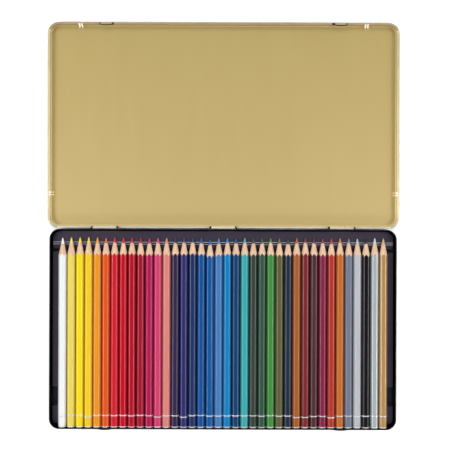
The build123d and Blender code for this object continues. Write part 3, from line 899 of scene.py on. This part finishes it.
def cap_finish(name, colour):
    """End of the pencil painted much paler in its tint: a painted highlight on the rounded end."""
    finish, tree, shader, place = new_finish(f"end with painted highlight {name}", IOR=1.5, Coat_Roughness=0.1)
    cloud = pattern(tree, drift_group, place, Scale=500.0, Contrast=1.5)
    tree.links.new(mixed(tree, cloud.outputs["Mask"], seen(*paler(colour, 0.84)), seen(*paler(colour, 0.95))),
                   shader.inputs["Base Color"])
    tree.links.new(ranged(tree, cloud.outputs["Mask"], 0.3, 0.4), shader.inputs["Roughness"])
    shader.inputs["Coat Weight"].default_value = 0.5
    return finish


cedar, tree, shader, place = new_finish("cedar", IOR=1.45)
apart = add_node(tree, "ShaderNodeSeparateXYZ", {0: place})
number = add_node(tree, "ShaderNodeMath",
                  {0: apart.outputs[0], 1: pitch * mm, 2: row_half_width * mm / pitch / mm + 0.5},
                  operation="DIVIDE")
shifted = add_node(tree, "ShaderNodeMath", {0: number.outputs[0], 1: row_half_width / pitch + 0.5}, operation="ADD")
whole = add_node(tree, "ShaderNodeMath", {0: shifted.outputs[0]}, operation="FLOOR")
own = add_node(tree, "ShaderNodeTexWhiteNoise", {"W": whole.outputs[0]}, noise_dimensions="1D")
grain = pattern(tree, streak_group, place, Across=1100.0, Along=60.0, Contrast=2.4)
fine = pattern(tree, streak_group, place, Across=3200.0, Along=220.0, Contrast=2.0)
tint = mixed(tree, own.outputs["Value"], seen(234, 202, 174), seen(240, 208, 168))
veined = mixed(tree, grain.outputs["Mask"], seen(206, 152, 116), tint)
tree.links.new(mixed(tree, ranged(tree, fine.outputs["Mask"], 0.0, 0.35), veined, seen(246, 222, 200)),
               shader.inputs["Base Color"])
tree.links.new(ranged(tree, grain.outputs["Mask"], 0.62, 0.5), shader.inputs["Roughness"])
roughened(tree, shader, fine.outputs["Height"], 0.4, 0.06)

foil, tree, shader, place = new_finish("silver foil", Metallic=0.4, IOR=1.5)
rub = pattern(tree, drift_group, place, Scale=900.0, Contrast=2.0)
tree.links.new(mixed(tree, rub.outputs["Mask"], seen(222, 222, 226), seen(240, 240, 242)),
               shader.inputs["Base Color"])
tree.links.new(ranged(tree, rub.outputs["Mask"], 0.22, 0.4), shader.inputs["Roughness"])
print("cedar and foil are shared by all the pencils")

# %% [markdown]
# ## Pencils: a hexagon rod cut by a cone
#
# The wavy edge of the lacquer on a sharpened pencil is not drawn: it is where a cone meets
# a hexagon. A point at angle t round the axis has the hexagon's radius h(t), and the cone's
# radius grows evenly from the point, so the lacquer starts at the distance where the two are
# equal. The core is seldom quite central, which is why its edge on the cone is slanted on
# some pencils. The rows of the grid follow these edges, so each finish ends on a clean line.

# %% Section of the rod
sector = np.array([0.0, 3.73, 7.46, 14.0, 22.0, 30.0, 38.0, 46.0, 52.54, 56.27])
rod_angle = np.radians((np.arange(6)[:, None] * 60.0 + sector[None]).ravel())
fillet = 0.97
fillet_centre = (flats / 2 - fillet) / math.cos(math.pi / 6)


def rod_radius(angle):
    """Radius of a hexagon with rounded edges: flats / 2 / cos from the flat's middle, or the fillet's circle."""
    from_corner = np.abs((angle + np.pi / 6) % (np.pi / 3) - np.pi / 6)
    flat = flats / 2 / np.cos(np.pi / 6 - from_corner)
    inside = np.clip(fillet ** 2 - (fillet_centre * np.sin(from_corner)) ** 2, 0.0, None)
    rounded = fillet_centre * np.cos(from_corner) + np.sqrt(inside)
    return np.where(from_corner < math.radians(7.46), rounded, flat)


pencil_length, point_y, axis_z = 175.4, 84.45, groove_z + flats / 2
point_slope = math.tan(math.radians(11.7))
core_radius, tip_radius = 1.45, 0.45
print(f"rod {2 * rod_radius(np.zeros(1))[0]:.2f} over edges, {flats} over flats, axis at z {axis_z}")


# %% Casing and core of one pencil
def placed(x, turn, radius, angle, back):
    """Points at a radius and angle round a pencil's axis, at a distance back from its point."""
    radius, angle, back = np.broadcast_arrays(radius, angle, back)
    return np.stack([x + radius * np.cos(angle + turn), point_y - back, axis_z + radius * np.sin(angle + turn)], -1)


def core_reach(angle, own):
    """Radius of the core's surface about the pencil's axis when it lies off centre by e: e cos + sqrt(r^2 - e^2 sin^2)."""
    swing = angle - own["core_side"]
    e = own["core_off"]
    return e * np.cos(swing) + np.sqrt(core_radius ** 2 - (e * np.sin(swing)) ** 2)


def cone_back(radius, angle, own):
    """Distance back from the point at which the cone has a radius, cut off centre by a little."""
    return own["short"] + (radius - tip_radius - own["cut_off"] * np.cos(angle - own["cut_side"])) / point_slope


def casing_rows(own):
    """Rows of the casing as (radius, distance back): bore, cone, lacquered rod, ring, cap and closed end."""
    t = rod_angle
    h, bore = rod_radius(t), core_reach(t, own)
    wood_start, coat_start = cone_back(bore, t, own), cone_back(h, t, own)
    rows = [(0 * t, 0 * t + 174.4), (bore, 0 * t + 174.4), (bore, wood_start)]
    for share in (0.06, 0.3, 0.6, 0.85, 1.0):
        rows.append((bore + (h - bore) * share, wood_start + (coat_start - wood_start) * share))
    rows += [(h, coat_start + 0.12), (h, 0 * t + 24.0), (h, 0 * t + 90.0)]
    ring, cap = own["ring"], own["cap"]
    for back in (ring, ring + own["ring_width"], cap - 0.3, cap):
        rows.append((h, 0 * t + back))
    end = np.radians(np.array([0.0, 18.0, 36.0, 54.0, 72.0, 90.0]))
    for angle in end:
        rows.append((h - 0.62 * (1 - math.cos(angle)), 0 * t + 174.3 + 1.05 * math.sin(angle)))
    rows += [(0.45 * h, 0 * t + 175.39), (0 * t, 0 * t + pencil_length)]
    return np.array([r for r, _ in rows]), np.array([b for _, b in rows])


def core_rows(own):
    """Rows of the core: rounded tip, cone down to the casing, then a rod inside the bore."""
    t = core_angle
    reach = core_reach(t, own)
    edge = cone_back(reach, t, own)
    off = own["cut_off"] * np.cos(t - own["cut_side"])
    tip = np.radians(np.array([0.0, 22.0, 45.0, 68.0]))
    rows = [(tip_radius * math.sin(a) + off * math.sin(a), 0 * t + own["short"] + 0.32 * (1 - math.cos(a)))
            for a in tip]
    base = own["short"] + 0.36
    for share in (0.0, 0.2, 0.5, 0.8, 1.0):
        back = base + (edge - base) * share
        rows.append((tip_radius + off + (back - own["short"]) * point_slope, back))
    rows += [(reach - 0.012, edge + 0.15), (reach - 0.012, 0 * t + 174.3), (0 * t, 0 * t + 174.3)]
    return np.array([r for r, _ in rows]), np.array([b for _, b in rows])


core_angle = np.radians(np.linspace(0, 360, 30, endpoint=False))

# %% [markdown]
# No two pencils in a box are quite alike: the core sits a little to one side, the sharpener
# takes a little more, the ring is a few tenths nearer to the end. These small differences
# come from one seeded generator, so they are the same in every run. One blue pencil is
# sharpened shorter than its neighbours and lies slightly turned.

# %% All thirty-eight pencils
rng = np.random.default_rng(38)
for index, (name, colour) in enumerate(lacquers.items()):
    number = f"{index + 1:02d}"
    own = {
        "core_off": rng.uniform(0.02, 0.16), "core_side": rng.uniform(0, 2 * np.pi),
        "cut_off": rng.uniform(0.0, 0.09), "cut_side": rng.uniform(0, 2 * np.pi),
        "short": rng.uniform(0.4, 1.0), "ring": 163.35 + rng.uniform(0.0, 0.5) + 1.2 * (rng.random() > 0.75),
        "ring_width": rng.uniform(0.85, 1.1), "cap": 174.15 + rng.uniform(-0.08, 0.08),
        "turn": math.radians(rng.uniform(-1.2, 1.2)),
    }
    if name == "mid_blue":
        own.update(short=2.3, turn=math.radians(7.0), core_off=0.17, core_side=math.pi)
    radius, back = casing_rows(own)
    shape = placed(pencil_x[index], own["turn"], radius, rod_angle, back)
    faces = cells(len(shape), len(rod_angle), True)[..., ::-1]
    row_finish = np.full(len(shape) - 1, 0)
    row_finish[:7] = 1
    row_finish[11] = 2
    # rows from the end's start onwards take the painted highlight of the end
    row_finish[14:] = 3
    finish_of_face = np.repeat(row_finish, len(rod_angle))
    casing = make_piece(f"pencil_{number}_casing", shape, faces.reshape(-1, 4),
                        [lacquer_finish(name, colour), cedar, foil, cap_finish(name, colour)],
                        finish_of_face, crease=45.0)
    radius, back = core_rows(own)
    shape = placed(pencil_x[index], own["turn"], radius, core_angle, back)
    faces = cells(len(shape), len(core_angle), True)[..., ::-1].reshape(-1, 4)
    core = make_piece(f"pencil_{number}_core", shape, faces, [core_finish(name, colour)], np.zeros(len(faces)))
    for piece in (casing, core):
        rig.ride(piece, f"pencil_{number}")
        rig.slot(piece, f"pencil_{name}")
        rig.replaces(piece, f"pencil_{number}_{name}")

# %% [markdown]
# ## Table, light and camera
#
# The photograph is taken from straight above on a white ground. Large soft lamps stand low
# at the left, at the right and at the pencils' ends, and a weak one behind the lid, so the
# rims that face those three sides shine. The rolls' finishes add to it: a painted highlight
# where they face the lamps and painted shade on the far roll.

# %% Floor and world
floor_mesh = bpy.data.meshes.new("table")
half = 2.5
floor_mesh.from_pydata(
    [(-half, -half, -0.0002), (half, -half, -0.0002), (half, half, -0.0002), (-half, half, -0.0002)],
    [], [(0, 1, 2, 3)])
floor = bpy.data.objects.new("table", floor_mesh)
bpy.context.scene.collection.objects.link(floor)
table_finish, tree, shader, place = new_finish("white table", Roughness=0.8)
shade = pattern(tree, drift_group, place, Scale=3.0, Contrast=1.0)
tree.links.new(mixed(tree, shade.outputs["Mask"], linear(250, 250, 250), linear(252, 252, 252)),
               shader.inputs["Base Color"])
floor_mesh.materials.append(table_finish)
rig.stage(floor)

world = bpy.data.worlds.new("studio")
bpy.context.scene.world = world
world.use_nodes = True
sky = world.node_tree
direction = add_node(sky, "ShaderNodeSeparateXYZ", {0: sky.nodes.new("ShaderNodeTexCoord").outputs["Generated"]})
aside = add_node(sky, "ShaderNodeMath", {0: direction.outputs[0]}, operation="ABSOLUTE")
at_sides = add_node(sky, "ShaderNodeMapRange", {0: aside.outputs[0], 1: 0.25, 2: 0.85, 3: 0.5, 4: 1.05},
                    interpolation_type="SMOOTHSTEP")
behind = add_node(sky, "ShaderNodeMapRange", {0: direction.outputs[1], 1: -0.2, 2: 0.6, 3: 0.0, 4: 0.55},
                  interpolation_type="SMOOTHSTEP")
walls = add_node(sky, "ShaderNodeMath", {0: at_sides.outputs[0], 1: behind.outputs[0]}, operation="ADD")
overhead = add_node(sky, "ShaderNodeMapRange", {0: direction.outputs[2], 1: 0.78, 2: 0.96, 3: 1.0, 4: 0.08},
                    interpolation_type="SMOOTHSTEP")
strength = add_node(sky, "ShaderNodeMath", {0: walls.outputs[0], 1: overhead.outputs[0]}, operation="MULTIPLY")
sky.links.new(strength.outputs[0], sky.nodes["Background"].inputs["Strength"])
sky.nodes["Background"].inputs["Color"].default_value = (1.0, 1.0, 1.0, 1.0)
print("floor and world")


# %% Lamps
def soft_lamp(name, place, target, width, height, power):
    """Rectangular lamp at a place in metres, turned so that it faces a target."""
    light = bpy.data.lights.new(name, "AREA")
    light.shape = "RECTANGLE"
    light.size, light.size_y, light.energy = width, height, power
    lamp = bpy.data.objects.new(name, light)
    lamp.location = place
    away = np.array(place) - np.array(target)
    across = np.cross([0.0, 0.0, 1.0], away)
    across /= np.linalg.norm(across)
    away /= np.linalg.norm(away)
    up = np.cross(away, across)
    turn = np.stack([across, up, away], axis=1)
    lamp.rotation_euler = __import__("mathutils").Matrix(turn.tolist()).to_euler()
    bpy.context.scene.collection.objects.link(lamp)
    return lamp


middle = (0.0, 0.08, 0.0)
soft_lamp("lamp behind the lid", (0.0, 1.35, 1.15), middle, 1.6, 0.6, 7.0)
soft_lamp("lamp at the left", (-1.3, -0.05, 1.05), middle, 0.8, 0.6, 18.0)
soft_lamp("lamp at the right", (1.3, -0.05, 1.05), middle, 0.8, 0.6, 16.5)
soft_lamp("lamp at the ends", (0.0, -1.3, 1.1), middle, 1.2, 0.3, 8.0)
print("four soft lamps round the tin, none overhead")

# %% Camera over the tin
camera_height, rim_width = 0.9065, 0.4126
camera_data = bpy.data.cameras.new("camera")
camera_data.sensor_width = 36.0
camera_data.lens = 36.0 * (camera_height - base_height * mm) / rim_width
camera_data.clip_start, camera_data.clip_end = 0.05, 20.0
camera = bpy.data.objects.new("camera", camera_data)
camera.location = (0.0017, 0.0958, camera_height)
camera.rotation_euler = (0.0, 0.0, math.radians(0.2))
bpy.context.scene.collection.objects.link(camera)
bpy.context.scene.camera = camera
bpy.context.scene.view_settings.view_transform = "Standard"
print(f"camera {camera_height} m above the table, lens {camera_data.lens:.1f} mm")

# %% [markdown]
# ## Size of the pieces
#
# The finished pieces are meant to fill the same box as the imported model. Both boxes are
# written down.

# %% Boxes of the imported model and of the finished pieces
def plain_box(box):
    """Box as plain lists of numbers."""
    return [[float(value) for value in corner] for corner in box]


sizes = {"cad": plain_box(cad_box), "visual": plain_box(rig.bounds())}
with open("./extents.json", "w") as file:
    json.dump(sizes, file)
print(sizes)
